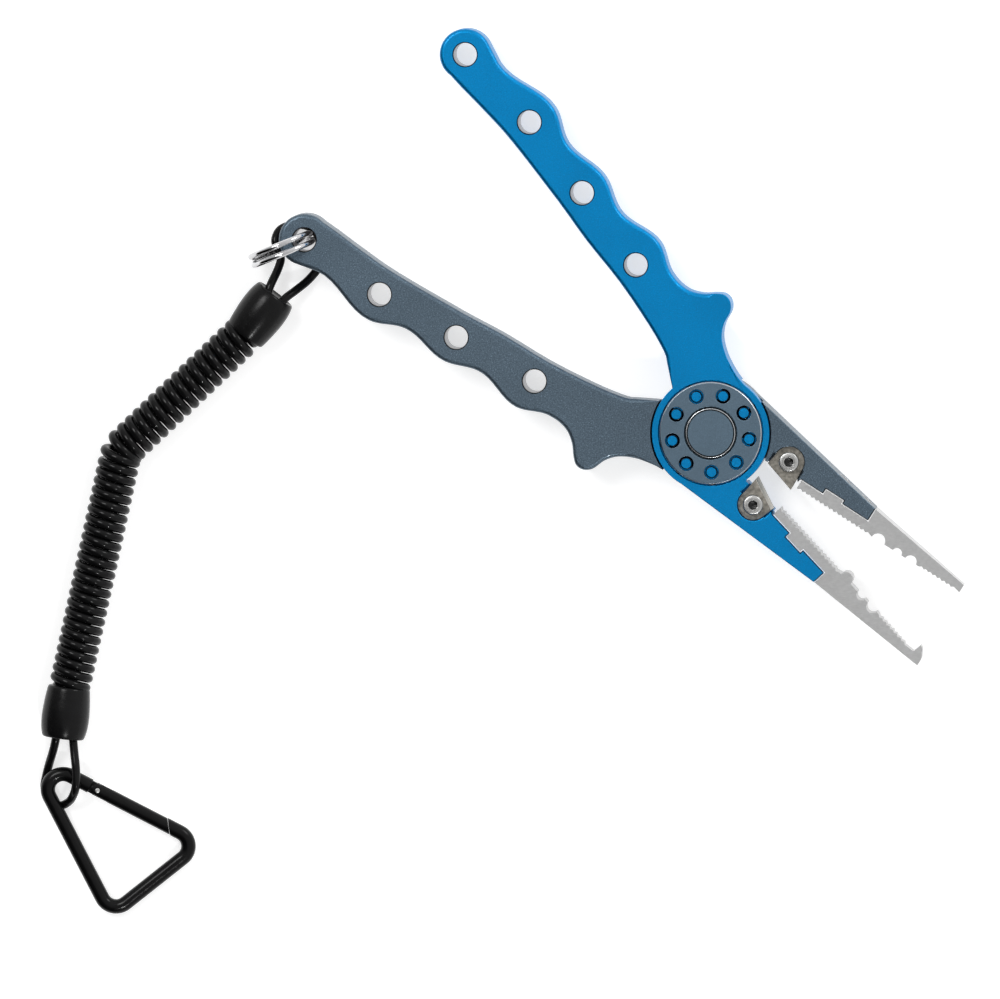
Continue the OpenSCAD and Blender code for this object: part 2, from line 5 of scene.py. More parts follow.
import bmesh
import bpy
import numpy as np
from mathutils import Matrix, Vector
from mathutils.bvhtree import BVHTree

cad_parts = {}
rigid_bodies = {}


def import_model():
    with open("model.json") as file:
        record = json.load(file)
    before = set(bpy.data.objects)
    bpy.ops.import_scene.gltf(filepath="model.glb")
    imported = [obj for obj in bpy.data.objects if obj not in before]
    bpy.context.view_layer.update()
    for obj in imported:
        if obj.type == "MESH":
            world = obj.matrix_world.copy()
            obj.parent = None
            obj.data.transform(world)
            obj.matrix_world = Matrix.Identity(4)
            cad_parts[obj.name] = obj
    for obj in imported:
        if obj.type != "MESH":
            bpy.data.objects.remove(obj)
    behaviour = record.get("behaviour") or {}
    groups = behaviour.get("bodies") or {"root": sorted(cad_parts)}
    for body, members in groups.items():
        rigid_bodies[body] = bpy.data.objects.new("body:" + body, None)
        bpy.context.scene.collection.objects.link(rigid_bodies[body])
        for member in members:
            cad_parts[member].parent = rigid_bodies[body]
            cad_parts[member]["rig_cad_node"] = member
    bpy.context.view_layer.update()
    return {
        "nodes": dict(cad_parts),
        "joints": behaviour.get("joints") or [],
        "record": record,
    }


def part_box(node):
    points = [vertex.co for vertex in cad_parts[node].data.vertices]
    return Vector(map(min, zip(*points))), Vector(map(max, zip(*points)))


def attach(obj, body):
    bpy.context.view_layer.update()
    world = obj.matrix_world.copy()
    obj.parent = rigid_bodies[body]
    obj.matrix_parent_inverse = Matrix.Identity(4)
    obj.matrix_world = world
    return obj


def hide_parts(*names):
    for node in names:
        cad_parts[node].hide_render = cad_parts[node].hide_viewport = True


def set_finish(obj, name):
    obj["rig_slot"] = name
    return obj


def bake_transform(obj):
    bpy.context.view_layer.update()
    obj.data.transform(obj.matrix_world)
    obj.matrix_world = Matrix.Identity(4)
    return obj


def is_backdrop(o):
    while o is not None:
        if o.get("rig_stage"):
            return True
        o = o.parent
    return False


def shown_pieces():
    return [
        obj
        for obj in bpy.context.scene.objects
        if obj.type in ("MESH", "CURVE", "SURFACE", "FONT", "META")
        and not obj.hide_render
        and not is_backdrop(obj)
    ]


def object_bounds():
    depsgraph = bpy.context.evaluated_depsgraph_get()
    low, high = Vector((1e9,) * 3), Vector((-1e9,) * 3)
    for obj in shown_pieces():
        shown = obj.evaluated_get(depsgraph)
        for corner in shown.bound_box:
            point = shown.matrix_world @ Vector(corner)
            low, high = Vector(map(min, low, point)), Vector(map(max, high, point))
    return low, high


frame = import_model()

MM = 0.001
TAU = 2 * math.pi
UP = Vector((0, 0, 1))

JOINTS = {j["name"]: j for j in frame["joints"]}
BODY = {n: b for b, nodes in frame["record"]["behaviour"]["bodies"].items() for n in nodes}
SLOT = {p["node"]: p["material_slot"] for p in frame["record"]["subparts"]}

LEVER_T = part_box("grey_lever")[1].z
WELD = 0.002 * MM           # vertices closer than this are merged
LEVEL = 0.01 * MM           # heights closer than this are the same
FLAT_DEG = 0.6              # faces that turn by less than this are merged
SHARP_DEG = 40              # an edge that turns by more than this is sharp
NORMAL_WEIGHT = 80          # how strongly large faces pull the shading
SECOND, THIRD = 1, 2        # indices of a piece's other materials, in the order of EXTRA

# Levers and jaws
EDGE_ROUND = 1.0 * MM       # rounding along the outline of the handles
JAW_ROUND = 0.25 * MM       # rounding along the outline of the jaws
SEAT_ROUND = 0.12 * MM      # rounding of the levers' other edges
SEAT_LINE = 0.17 * MM       # chamfer round the seats of the plates and the cutters, painted dark as shade
SEAT_NEAR = 0.6 * MM        # an edge of a seat is closer than this to the piece in it
SEAT_DEG = 60               # and turns by more than this
HOLE_ROUND = 0.28 * MM      # rounding of the drilled holes' rims, which get a painted shade
HOLE_SPAN = 7 * MM          # a drilled hole is smaller than this across
BORE_FACE = 0.7 * MM * MM   # smaller faces of a jaw are the walls of screw bores
BOSS_R = 15.3 * MM          # the boss round the pivot
BOSS_BLEND = 6 * MM         # length over which the rounding grows beyond the boss
BOSS_STEP = 0.8 * MM        # the outline is divided this finely there
RIM_ROUND = 0.22 * MM       # round on the jaw plates' edges where they meet the levers, which glows as a painted highlight
RIM_NEAR = 0.4 * MM

# Pivot
BOLT_R = 3.2 * MM
NECK_R = 5.5 * MM
NECK_DEPTH = 1.65 * MM      # from the levers' top to the underside of the neck
LIP_DEPTH = 0.54 * MM       # and to the underside of the head
COVER_RIM = 12 * MM         # the cover's outer chamfer lies beyond this radius

# Lanyard
CORD_R = 1.05 * MM
RING_WIRE_R = 0.68 * MM
RING_TURN = math.radians(180)
RING_SPLAY = 0.75           # how far the ring's turns stand apart, over their rest offset
SPRING_WIRE_R = 0.6 * MM
COIL_R = 5.25 * MM
CORD_SHARE = 0.475          # radius of the coiled cord over its pitch
UPPER_PITCH = 2.62 * MM
LOWER_PITCH = 2.36 * MM
PITCH_CHANGE = 5 * MM       # the pitch changes within this distance of the bend
CUFF_ENTRY = 1.6 * MM       # how far the coil starts inside each cuff
ENTRY_SQUEEZE = 1.3 * MM    # how much narrower the coil is there
ENTRY_LENGTH = 2.6 * MM
BEND_R = 6.5 * MM
BEND_REACH = 8 * MM         # the bend is spread this far to both sides
SPLIT_AT = 10 * MM          # the lower run starts this far beyond the bend
LAST_TURN = 3 * MM          # the end of the lower run, which doesn't stretch
CORE_STEP = 0.05 * MM       # spacing of the points on the coil's axis
CORE_REACH = 8              # points to each side that give the axis its direction
PER_TURN = 30               # points on one turn of the cord
FIRST_ANGLE = 0.6           # where the first turn starts, in radians


# ---------------------------------------------------------------- mesh helpers

def smoothstep(x):
    x = min(max(x, 0.0), 1.0)
    return x * x * (3 - 2 * x)


def new_object(name, mesh, body, slot):
    """Adds a mesh as an object that rides on a body, if there is one."""
    piece = bpy.data.objects.new(name, mesh)
    bpy.context.scene.collection.objects.link(piece)
    if body:
        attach(piece, body)
    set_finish(piece, slot)
    return piece


def mesh_from(name, points, faces):
    mesh = bpy.data.meshes.new(name)
    mesh.from_pydata([tuple(p) for p in points], [], faces)
    mesh.update()
    return mesh


def finish_shading(piece, sharp_deg):
    """Smooth faces with crisp edges where the surface turns by more than sharp_deg."""
    bm = bmesh.new()
    bm.from_mesh(piece.data)
    bmesh.ops.recalc_face_normals(bm, faces=bm.faces)
    for edge in bm.edges:
        edge.smooth = edge.calc_face_angle(0.0) < math.radians(sharp_deg)
    for face in bm.faces:
        face.smooth = True
    bm.to_mesh(piece.data)
    bm.free()
    normals = piece.modifiers.new("normals", "WEIGHTED_NORMAL")
    normals.keep_sharp = True
    normals.weight = NORMAL_WEIGHT


def welded(node):
    """A CAD node's mesh as bmesh, with its doubled vertices merged."""
    bm = bmesh.new()
    bm.from_mesh(frame["nodes"][node].data)
    bmesh.ops.remove_doubles(bm, verts=bm.verts, dist=WELD)
    return bm


def sharp_edges(bm, degrees):
    limit = math.radians(degrees)
    return [e for e in bm.edges if len(e.link_faces) == 2 and e.calc_face_angle() > limit]


def edge_groups(edges):
    """Edges that touch each other, as lists, in the same order each time."""
    left, groups = dict.fromkeys(edges), []
    while left:
        group, todo = [], [left.popitem()[0]]
        while todo:
            edge = todo.pop()
            group.append(edge)
            for vert in edge.verts:
                for other in vert.link_edges:
                    if other in left:
                        del left[other]
                        todo.append(other)
        groups.append(group)
    return groups


def span(edges):
    """Largest side of the box around some edges."""
    co = np.array([v.co for e in edges for v in e.verts])
    return float((co.max(0) - co.min(0)).max())


def bevel(bm, edges, width, segments):
    bmesh.ops.bevel(bm, geom=edges, offset=width, segments=segments, profile=0.5,
                    affect="EDGES", clamp_overlap=True, loop_slide=False, offset_type="OFFSET")


def keep(node, width, segments=2):
    """Shows a CAD node itself, its edges broken by a fine round."""
    piece = frame["nodes"][node]
    piece.data.polygons.foreach_set("use_smooth", [True] * len(piece.data.polygons))
    weld = piece.modifiers.new("weld", "WELD")
    weld.merge_threshold = WELD
    flat = piece.modifiers.new("flat", "DECIMATE")
    flat.decimate_type = "DISSOLVE"
    flat.angle_limit = math.radians(FLAT_DEG)
    edge = piece.modifiers.new("edge", "BEVEL")
    edge.width = width
    edge.segments = segments
    edge.angle_limit = math.radians(28)
    edge.loop_slide = False
    normals = piece.modifiers.new("normals", "WEIGHTED_NORMAL")
    normals.weight = NORMAL_WEIGHT
    return piece


def piece_for(node, mesh, sharp_deg):
    """Makes a mesh the visible piece that stands for a CAD node."""
    piece = new_object(mesh.name, mesh, BODY[node], SLOT[node])
    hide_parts(node)
    finish_shading(piece, sharp_deg)
    return piece


def tube(name, path, radius, sides, caps=(0.3, 0.3)):
    """Round bar along a path. Each end edge is rounded by its share of the radius, or is sharp
    at 0. Returns the mesh and the number of rings that were added at the start and the end."""
    path = [Vector(p) for p in path]
    last = len(path) - 1
    radii = [radius] * len(path) if np.isscalar(radius) else list(radius)
    tangents = [(path[min(i + 1, last)] - path[max(i - 1, 0)]).normalized()
                for i in range(len(path))]
    side = tangents[0].cross(UP if abs(tangents[0].z) < 0.9 else Vector((1, 0, 0)))
    sections = []
    for point, tangent, r in zip(path, tangents, radii):
        side = (side - tangent * side.dot(tangent)).normalized()
        sections.append((point, tangent, side, r))

    def end_rings(section, cap, inward):
        point, tangent, side, r = section
        steps = (0, math.pi / 6, math.pi / 3) if cap else (math.pi / 2,)
        return [(point + tangent * inward * r * cap * (1 - math.cos(a)), tangent, side,
                 r * (1 - cap * (1 - math.sin(a)))) for a in steps]

    first, final = end_rings(sections[0], caps[0], 1), end_rings(sections[-1], caps[1], -1)[::-1]
    rings = first + sections[1:-1] + final
    points, faces = [], []
    for point, tangent, side, r in rings:
        across = tangent.cross(side)
        points += [point + (side * math.cos(TAU * k / sides)
                            + across * math.sin(TAU * k / sides)) * r for k in range(sides)]
    for i in range(len(rings) - 1):
        for k in range(sides):
            a, b = i * sides + k, i * sides + (k + 1) % sides
            faces.append((a, b, b + sides, a + sides))
    faces.append(tuple(reversed(range(sides))))
    faces.append(tuple(range(len(points) - sides, len(points))))
    return mesh_from(name, points, faces), (len(first) - 1, len(final) - 1)


def lathe(name, profile, place, segments):
    """Turned mesh: profile is (radius, height) along the local +Z of place, closed on the axis."""
    points, faces, rings = [], [], []
    for r, z in profile:
        if r < 1e-7:
            rings.append([len(points)])
            points.append(place @ Vector((0, 0, z)))
        else:
            rings.append(list(range(len(points), len(points) + segments)))
            points += [place @ Vector((r * math.cos(TAU * k / segments),
                                       r * math.sin(TAU * k / segments), z))
                       for k in range(segments)]
    for low, high in zip(rings, rings[1:]):
        for k in range(segments):
            j = (k + 1) % segments
            corners = [low[k % len(low)], low[j % len(low)],
                       high[j % len(high)], high[k % len(high)]]
            faces.append(tuple(dict.fromkeys(corners)))
    return mesh_from(name, points, faces)


def curve_through(points, steps):
    """Catmull-Rom curve through the points."""
    p = [Vector(v) for v in points]
    out = []
    for i in range(len(p) - 1):
        a, b, c, d = p[max(i - 1, 0)], p[i], p[i + 1], p[min(i + 2, len(p) - 1)]
        for k in range(steps):
            t = k / steps
            out.append(0.5 * (2 * b + (c - a) * t + (2 * a - 5 * b + 4 * c - d) * t * t
                              + (3 * b - a - 3 * c + d) * t ** 3))
    out.append(p[-1])
    return out


def evened(points, step):
    """The same line with its long straight stretches divided."""
    out = [points[0]]
    for a, b in zip(points, points[1:]):
        count = max(1, round((b - a).length / step))
        out += [a.lerp(b, i / count) for i in range(1, count + 1)]
    return out


def closed_loops(edges):
    """Groups of edges that each form one closed loop of 8 edges or more."""
    return [g for g in edge_groups(edges)
            if len(g) >= 8 and len({v for e in g for v in e.verts}) == len(g)]


def middle(edges):
    co = [v.co for e in edges for v in e.verts]
    return sum(co, Vector()) / len(co)


def centreline(node, far_from=None, cap_deg=62):
    """Rings of a CAD bar, walked from one end face to the other, as lists of points."""
    bm = welded(node)
    ends = closed_loops(sharp_edges(bm, cap_deg))
    first = max(ends, key=lambda g: (middle(g) - far_from).length) if far_from else ends[0]
    level = dict.fromkeys(v for e in first for v in e.verts)
    seen, rings = set(level), []
    while level:
        rings.append([v.co.copy() for v in level])
        level = dict.fromkeys(w for v in level for e in v.link_edges
                              if (w := e.other_vert(v)) not in seen)
        seen.update(level)
    bm.free()
    return rings


def centres(rings):
    return [sum(ring, Vector()) / len(ring) for ring in rings]


def axis_of(node):
    """The two ends of a CAD node's long axis."""
    co = np.array([v.co for v in frame["nodes"][node].data.vertices])
    centre = (co.max(0) + co.min(0)) / 2
    axis = np.linalg.svd(co - co.mean(0), full_matrices=False)[2][0]
    along = (co - centre) @ axis
    return Vector(centre + axis * along.min()), Vector(centre + axis * along.max())


def facing(origin, direction):
    """Frame whose +Z runs from origin along direction."""
    z = direction.normalized()
    x = UP.cross(z).normalized()
    y = z.cross(x)
    return Matrix.Translation(origin) @ Matrix((x, y, z)).transposed().to_4x4()


# ---------------------------------------------------------------- levers

def lever(node, seated):
    """The lever with a generous round along its handle and fine rounds elsewhere. Its drilled
    holes have bare walls and rims darkened with a painted shade, and the chamfers round its seats
    get the same painted shade."""
    bm = welded(node)
    bmesh.ops.dissolve_limit(bm, angle_limit=math.radians(FLAT_DEG),
                             verts=bm.verts, edges=bm.edges)
    seats = [BVHTree.FromBMesh(welded(n)) for n in seated]

    def middle_of(edge):
        return (edge.verts[0].co + edge.verts[1].co) / 2

    def on_face(edge):
        z = [v.co.z for v in edge.verts]
        return max(z) < LEVEL or min(z) > LEVER_T - LEVEL

    def by_seat(at):
        return any(tree.find_nearest(at, SEAT_NEAR)[0] for tree in seats)

    def rounding(edge):
        mid = middle_of(edge)
        from_pivot = mid.to_2d().length
        if not on_face(edge) or from_pivot < BOSS_R:
            return SEAT_ROUND
        grown = smoothstep((from_pivot - BOSS_R) / BOSS_BLEND) if mid.x < 0 else 0
        return JAW_ROUND + (EDGE_ROUND - JAW_ROUND) * grown

    rims = [g for g in closed_loops([e for e in sharp_edges(bm, SHARP_DEG) if on_face(e)])
            if span(g) < HOLE_SPAN]
    hole_at = [middle(g).to_2d() for g in rims]
    bevel(bm, [e for g in rims for e in g], HOLE_ROUND, 2)
    bm.normal_update()
    # Hole walls get bare metal; the sloped rim faces get THIRD, a near-black painted shade
    for face in bm.faces:
        centre = face.calc_center_median().to_2d()
        if min((centre - at).length for at in hole_at) < HOLE_SPAN / 2:
            flatness = abs(face.normal.z)
            face.material_index = SECOND if flatness < 0.1 else THIRD if flatness < 0.98 else 0
        elif centre.x > 0 and face.calc_area() < BORE_FACE:
            face.material_index = SECOND
    seat_edges = [e for e in sharp_edges(bm, SEAT_DEG) if on_face(e) and by_seat(middle_of(e))]
    bevel(bm, seat_edges, SEAT_LINE, 1)
    bm.normal_update()
    # Seat chamfers get THIRD, a near-black painted shade in place of the shadow line round each
    # seat
    for face in bm.faces:
        if 0.3 < abs(face.normal.z) < 0.95 and by_seat(face.calc_center_median()):
            face.material_index = THIRD
    near_boss = [e for e in sharp_edges(bm, SHARP_DEG) if on_face(e) and middle_of(e).x < 0
                 and middle_of(e).to_2d().length < BOSS_R + BOSS_BLEND]
    for edge in near_boss:
        cuts = int(edge.calc_length() / BOSS_STEP)
        if cuts:
            bmesh.ops.subdivide_edges(bm, edges=[edge], cuts=cuts)
    weight = bm.edges.layers.float.new("bevel_weight_edge")
    for edge in sharp_edges(bm, SHARP_DEG):
        mid = middle_of(edge)
        if min((mid.to_2d() - at).length for at in hole_at) > HOLE_SPAN / 2 \
                and not (mid.x > 0 and by_seat(mid)):
            edge[weight] = rounding(edge) / EDGE_ROUND
    mesh = bpy.data.meshes.new(node + "_v")
    bm.to_mesh(mesh)
    bm.free()
    piece = piece_for(node, mesh, 32)
    weights = piece.data.attributes["bevel_weight_edge"].data
    for edge in piece.data.edges:
        if weights[edge.index].value > 0:
            edge.use_edge_sharp = False
    round_edge = piece.modifiers.new("edge", "BEVEL")
    round_edge.limit_method = "WEIGHT"
    round_edge.width = EDGE_ROUND
    round_edge.segments = 4
    round_edge.use_clamp_overlap = False
    round_edge.loop_slide = False
    piece.modifiers.move(1, 0)


def painted_highlight_edges(piece, beside):
    """A round along the piece's top edges that lie against the CAD node beside it, given the
    piece's second material, a glowing painted highlight.
    """
    tree = BVHTree.FromBMesh(welded(beside))
    mesh = piece.data
    top = max(v.co.z for v in mesh.vertices)
    weights = mesh.attributes.new("bevel_weight_edge", "FLOAT", "EDGE").data
    for edge in mesh.edges:
        ends = [mesh.vertices[k].co for k in edge.vertices]
        if all(co.z > top - LEVEL and tree.find_nearest(co, RIM_NEAR)[0] for co in ends):
            weights[edge.index].value = 1
    rim = piece.modifiers.new("rim", "BEVEL")
    rim.limit_method = "WEIGHT"
    rim.width = RIM_ROUND
    rim.segments = 3
    rim.material = SECOND
    rim.loop_slide = False
    piece.modifiers.move(len(piece.modifiers) - 1, 2)


def mark(piece, chosen):
    """Gives the faces that chosen(face) picks the piece's second material."""
    for face in piece.data.polygons:
        if chosen(face):
            face.material_index = SECOND


lever("grey_lever", ["grey_jaw_plate", "grey_cutter"])
lever("blue_lever", ["blue_jaw_plate", "blue_cutter"])
for side in ("grey", "blue"):
    painted_highlight_edges(keep(side + "_jaw_plate", 0.14 * MM, 1), side + "_lever")
    keep(side + "_plate_screws", 0.12 * MM)
    keep(side + "_cutter", 0.07 * MM)
mark(frame["nodes"]["blue_cutter"], lambda face: 0.15 < face.normal.z < 0.9)   # its ground edge


# ---------------------------------------------------------------- screws and pivot

def ring_points(r, z, hexagonal, count):
    """A round ring, or one that lies on a hexagon with corners at r."""
    out = []
    for k in range(count):
        a = TAU * k / count
        reach = r
        if hexagonal:
            reach = r * math.cos(math.pi / 6) / math.cos((a % (TAU / 6)) - math.pi / 6)
        out.append(Vector((reach * math.cos(a), reach * math.sin(a), z)))
    return out


def socket_screw(node):
    """Cap screw with a rounded rim, a turned step and a hexagon socket, from the shank up."""
    lo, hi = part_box(node)
    centre = Vector(((lo.x + hi.x) / 2, (lo.y + hi.y) / 2, 0))
    r, top = (hi.x - lo.x) / 2, hi.z
    seat = top - 1.6 * MM
    shank, socket = 1.5 * MM, 1.08 * MM
    count = 48
    rings = [(shank * 0.75, lo.z, 0), (shank, lo.z + shank * 0.25, 0), (shank, seat, 0),
             (r * 0.97, seat, 0), (r, seat + 0.08 * MM, 0), (r, top - 0.42 * MM, 0),
             (r * 0.985, top - 0.22 * MM, 0), (r * 0.94, top - 0.07 * MM, 0), (r * 0.88, top, 0),
             (r * 0.66, top, 0), (r * 0.63, top - 0.16 * MM, 0), (r * 0.58, top - 0.16 * MM, 0),
             (r * 0.555, top - 0.03 * MM, 0), (socket * 1.08, top - 0.03 * MM, 0),
             (socket, top - 0.2 * MM, 1), (socket, top - 1.25 * MM, 1),
             (socket * 0.3, top - 1.5 * MM, 0)]
    points, faces = [], []
    for radius, z, hexagonal in rings:
        points += [centre + p for p in ring_points(radius, z, hexagonal, count)]
    for i in range(len(rings) - 1):
        for k in range(count):
            a, b = i * count + k, i * count + (k + 1) % count
            faces.append((a, b, b + count, a + count))
    faces.append(tuple(reversed(range(count))))
    faces.append(tuple(range(len(points) - count, len(points))))
    piece = piece_for(node, mesh_from(node + "_v", points, faces), 38)
    # The socket's walls and floor get the near-black painted shade
    mark(piece, lambda face: (face.center - centre).to_2d().length < socket
         and seat < face.center.z < top - 0.1 * MM)


def pivot_bolt():
    """The bolt from its end up, with a turned ring and groove round its flush head; the ring gets
    a painted highlight, the outer chamfer and the groove a painted shade.
    """
    lo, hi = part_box("pivot_bolt")
    head_r, top = hi.x, hi.z
    neck_z, lip_z = LEVER_T - NECK_DEPTH, LEVER_T - LIP_DEPTH
    profile = [(0, lo.z), (BOLT_R - 0.3 * MM, lo.z), (BOLT_R, lo.z + 0.3 * MM), (BOLT_R, neck_z),
               (NECK_R, neck_z), (NECK_R, lip_z), (head_r, lip_z)]
    rim = [(0, 0.34), (0.1, 0.14), (0.26, 0.03), (0.36, 0), (0.44, 0), (0.49, 0.22), (0.7, 0.22),
           (0.75, 0)]
    profile += [(head_r - inward * MM, top - down * MM) for inward, down in rim] + [(0, top)]
    bolt = piece_for("pivot_bolt",
                     lathe("pivot_bolt_v", profile, Matrix.Identity(4), 128), SHARP_DEG)
    # The head's top ring gets a painted highlight, its outer chamfer and groove a near-black
    # painted shade
    for face in bolt.data.polygons:
        inward = head_r - face.center.to_2d().length
        if face.center.z > lip_z and inward < 0.72 * MM:
            face.material_index = SECOND if 0.26 * MM < inward < 0.45 * MM else THIRD


socket_screw("grey_cutter_screw")
socket_screw("blue_cutter_screw")
pivot_bolt()
# The cover's outer chamfer gets the lighter metal, a painted highlight
mark(keep("pivot_cover", 0.12 * MM),
     lambda face: 0.2 < face.normal.z < 0.95 and face.center.to_2d().length > COVER_RIM)
keep("pivot_nut", 0.15 * MM)
keep("pivot_bushing", 0.1 * MM)
keep("friction_washer", 0.05 * MM, 1)


# ---------------------------------------------------------------- bars and cords

def bar(node, path, radius, sides):
    """A round bar along a path, in the place of a CAD node."""
    piece_for(node, tube(node + "_v", path, radius, sides)[0], 50)


def smooth_centreline(node, steps=3):
    return curve_through(centres(centreline(node)), steps)


def split_ring():
    """The ring's two turns, which the handle holds a little apart above the table."""
    path = smooth_centreline("split_ring")
    co = np.array(path)
    centre = Vector((co.max(0) + co.min(0)) / 2)
    normal = Vector(np.linalg.svd(co - co.mean(0), full_matrices=False)[2][2])
    half_turn = Matrix.Rotation(RING_TURN, 3, normal)      # keeps the wire's ends out of sight
    path = [centre + half_turn @ (p - centre) for p in path]
    spread = [p + normal * (p - centre).dot(normal) * RING_SPLAY
              * smoothstep((p.z - centre.z + 3 * MM) / (6 * MM)) for p in path]
    bar("split_ring", spread, RING_WIRE_R, 24)


split_ring()
for node in ("upper_cord_loop", "lower_cord_loop"):
    bar(node, smooth_centreline(node), CORD_R, 20)


def cuff(node, loop_node):
    """Moulded cuff: a shallow barrel, dished where the cord enters. Returns its two ends, the
    one at the loop first."""
    a, b = axis_of(node)
    lo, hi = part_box(loop_node)
    if (b - (lo + hi) / 2).length < (a - (lo + hi) / 2).length:
        a, b = b, a
    length = (b - a).length
    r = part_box(node)[1].z - a.z
    # Shares of the radius and of the length, from the loop's end on
    shape = [(0, 0.055), (0.55, 0.05), (0.74, 0.02), (0.8, 0), (0.865, 0.012), (0.905, 0.05),
             (0.95, 0.13), (0.98, 0.22), (0.997, 0.32), (1, 0.42), (0.99, 0.54), (0.97, 0.66),
             (0.94, 0.78), (0.915, 0.87), (0.895, 0.93), (0.88, 0.965), (0.84, 0.99),
             (0.76, 1), (0, 1)]
    profile = [(r * x, length * z) for x, z in shape]
    piece = piece_for(node, lathe(node + "_v", profile, facing(a, b - a), 96), 44)
    subdivided = piece.modifiers.new("smooth", "SUBSURF")
    subdivided.levels = subdivided.render_levels = 1
    return a, b


CUFF_ENDS = cuff("upper_cuff", "upper_cord_loop"), cuff("lower_cuff", "lower_cord_loop")


# ---------------------------------------------------------------- coil

def rounded_corner(a, corner, b, radius, step):
    """Points from a to b, evenly spaced, with an arc in place of the corner."""
    u, v = (a - corner).normalized(), (b - corner).normalized()
    half = math.acos(max(-1.0, min(1.0, u.dot(v)))) / 2
    reach = radius / math.tan(half)
    centre = corner + (u + v).normalized() * radius / math.sin(half)
    first, last = corner + u * reach, corner + v * reach
    turn = math.pi - 2 * half
    leg_steps, arc_steps = 60, 40
    raw = [a + (first - a) * i / leg_steps for i in range(leg_steps)]
    start, side = first - centre, -u
    for i in range(arc_steps + 1):
        t = turn * i / arc_steps
        raw.append(centre + start * math.cos(t) + side * radius * math.sin(t))
    raw += [last + (b - last) * i / leg_steps for i in range(1, leg_steps + 1)]
    lengths = np.cumsum([0] + [(q - p).length for p, q in zip(raw, raw[1:])])
    even = np.linspace(0, lengths[-1], int(lengths[-1] / step) + 1)
    co = np.array(raw)
    return [Vector([float(np.interp(s, lengths, co[:, k])) for k in range(3)]) for s in even]


def coil():
    """The coiled cord from cuff to cuff, in two pieces that meet below the bend."""
    bend = Vector(JOINTS["coil_bend"]["pos_m"])
    start, finish = [back + (mouth - back).normalized() * CUFF_ENTRY for mouth, back in CUFF_ENDS]
    axis = rounded_corner(start, bend, finish, BEND_R, CORE_STEP)
    total = CORE_STEP * (len(axis) - 1)
    to_bend = (bend - start).length
    path, along, radii = [], [], []
    turns = s = 0.0
    while s <= total:
        i = min(int(s / CORE_STEP), len(axis) - 2)
        centre = axis[i].lerp(axis[i + 1], s / CORE_STEP - i)
        tangent = (axis[min(i + CORE_REACH, len(axis) - 1)]
                   - axis[max(i - CORE_REACH, 0)]).normalized()
        right = tangent.cross(UP).normalized()
        past = smoothstep((s - to_bend + PITCH_CHANGE) / (2 * PITCH_CHANGE))
        pitch = UPPER_PITCH + (LOWER_PITCH - UPPER_PITCH) * past
        radii.append(CORD_SHARE * pitch)
        from_end = min(s, total - s)
        r = COIL_R - radii[-1] - ENTRY_SQUEEZE * (1 - smoothstep(from_end / ENTRY_LENGTH))
        a = TAU * turns + FIRST_ANGLE
        path.append(centre + (right * math.cos(a) + UP * math.sin(a)) * r)
        along.append(s)
        turns += 1 / PER_TURN
        s += pitch / PER_TURN
    split = next(i for i, s in enumerate(along) if s > to_bend + SPLIT_AT)

    def swing(s):
        return smoothstep((s - to_bend + BEND_REACH) / (2 * BEND_REACH))

    def stretch(s):
        return min(max((s - to_bend - SPLIT_AT) / (total - to_bend - SPLIT_AT - LAST_TURN), 0), 1)

    blended("coil_upper", path[:split + 1], radii[:split + 1], (0.3, 0),
            [swing(s) for s in along[:split + 1]])
    blended("coil_lower", path[split:], radii[split:], (0, 0.3),
            [stretch(s) for s in along[split:]])


def blended(node, path, radii, caps, shares):
    """A run of cord or wire as one tube that rides on no body. The shares are lengthened to cover
    the rounded ends, and nothing uses them further."""
    sides = 14
    mesh, (added_first, added_last) = tube(node + "_v", path, radii, sides, caps)
    piece = new_object(mesh.name, mesh, None, SLOT[node])
    finish_shading(piece, 50)
    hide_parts(node)
    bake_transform(piece)
    shares = [shares[0]] * added_first + shares + [shares[-1]] * added_last


def torsion_spring():
    """The spring in the boss, as one tube along the CAD spring's centreline."""
    path = smooth_centreline("torsion_spring", 2)
    if path[0].z > path[-1].z:
        path.reverse()
    blended("torsion_spring", path, [SPRING_WIRE_R] * len(path), (0.3, 0.3),
            list(np.linspace(0, 1, len(path))))


coil()
torsion_spring()


# ---------------------------------------------------------------- snap hook

def hook_wire(pin):
    """The hook's bent wire, cut off slanted at its nose. Returns its other end."""
    node = "snap_hook"
    rings = centreline(node, far_from=pin, cap_deg=48)
    sides = len(rings[2])
    last = next((i for i in range(2, len(rings)) if len(rings[i]) != sides), len(rings))
    path = centres(rings[1:last])
    nose = np.array(rings[0])
    nose_at = Vector(nose.mean(0))
    nose_normal = Vector(np.linalg.svd(nose - nose.mean(0))[2][2])
    r = max((p - path[3]).length for p in rings[4])
    ahead = (nose_at - path[0]).normalized()
    if nose_normal.dot(ahead) < 0:
        nose_normal = -nose_normal
    path = [nose_at + ahead * 3 * MM] + path
    mesh, _ = tube(node + "_v", curve_through(evened(path, 0.8 * MM), 3), r, 32)
    bm = bmesh.new()
    bm.from_mesh(mesh)
    close = dict.fromkeys(v for v in bm.verts if (v.co - nose_at).length < 5.2 * MM)
    geometry = list(close) + [g for kind in (bm.edges, bm.faces) for g in kind
                              if all(v in close for v in g.verts)]
    cut = bmesh.ops.bisect_plane(bm, geom=geometry, plane_co=nose_at, plane_no=nose_normal,
                                 clear_outer=True)
    rim = [g for g in cut["geom_cut"] if isinstance(g, bmesh.types.BMEdge)]
    bmesh.ops.edgeloop_fill(bm, edges=rim)
    bevel(bm, rim, 0.18 * MM, 2)
    bm.to_mesh(mesh)
    bm.free()
    piece_for(node, mesh, 50)
    return path[-1]


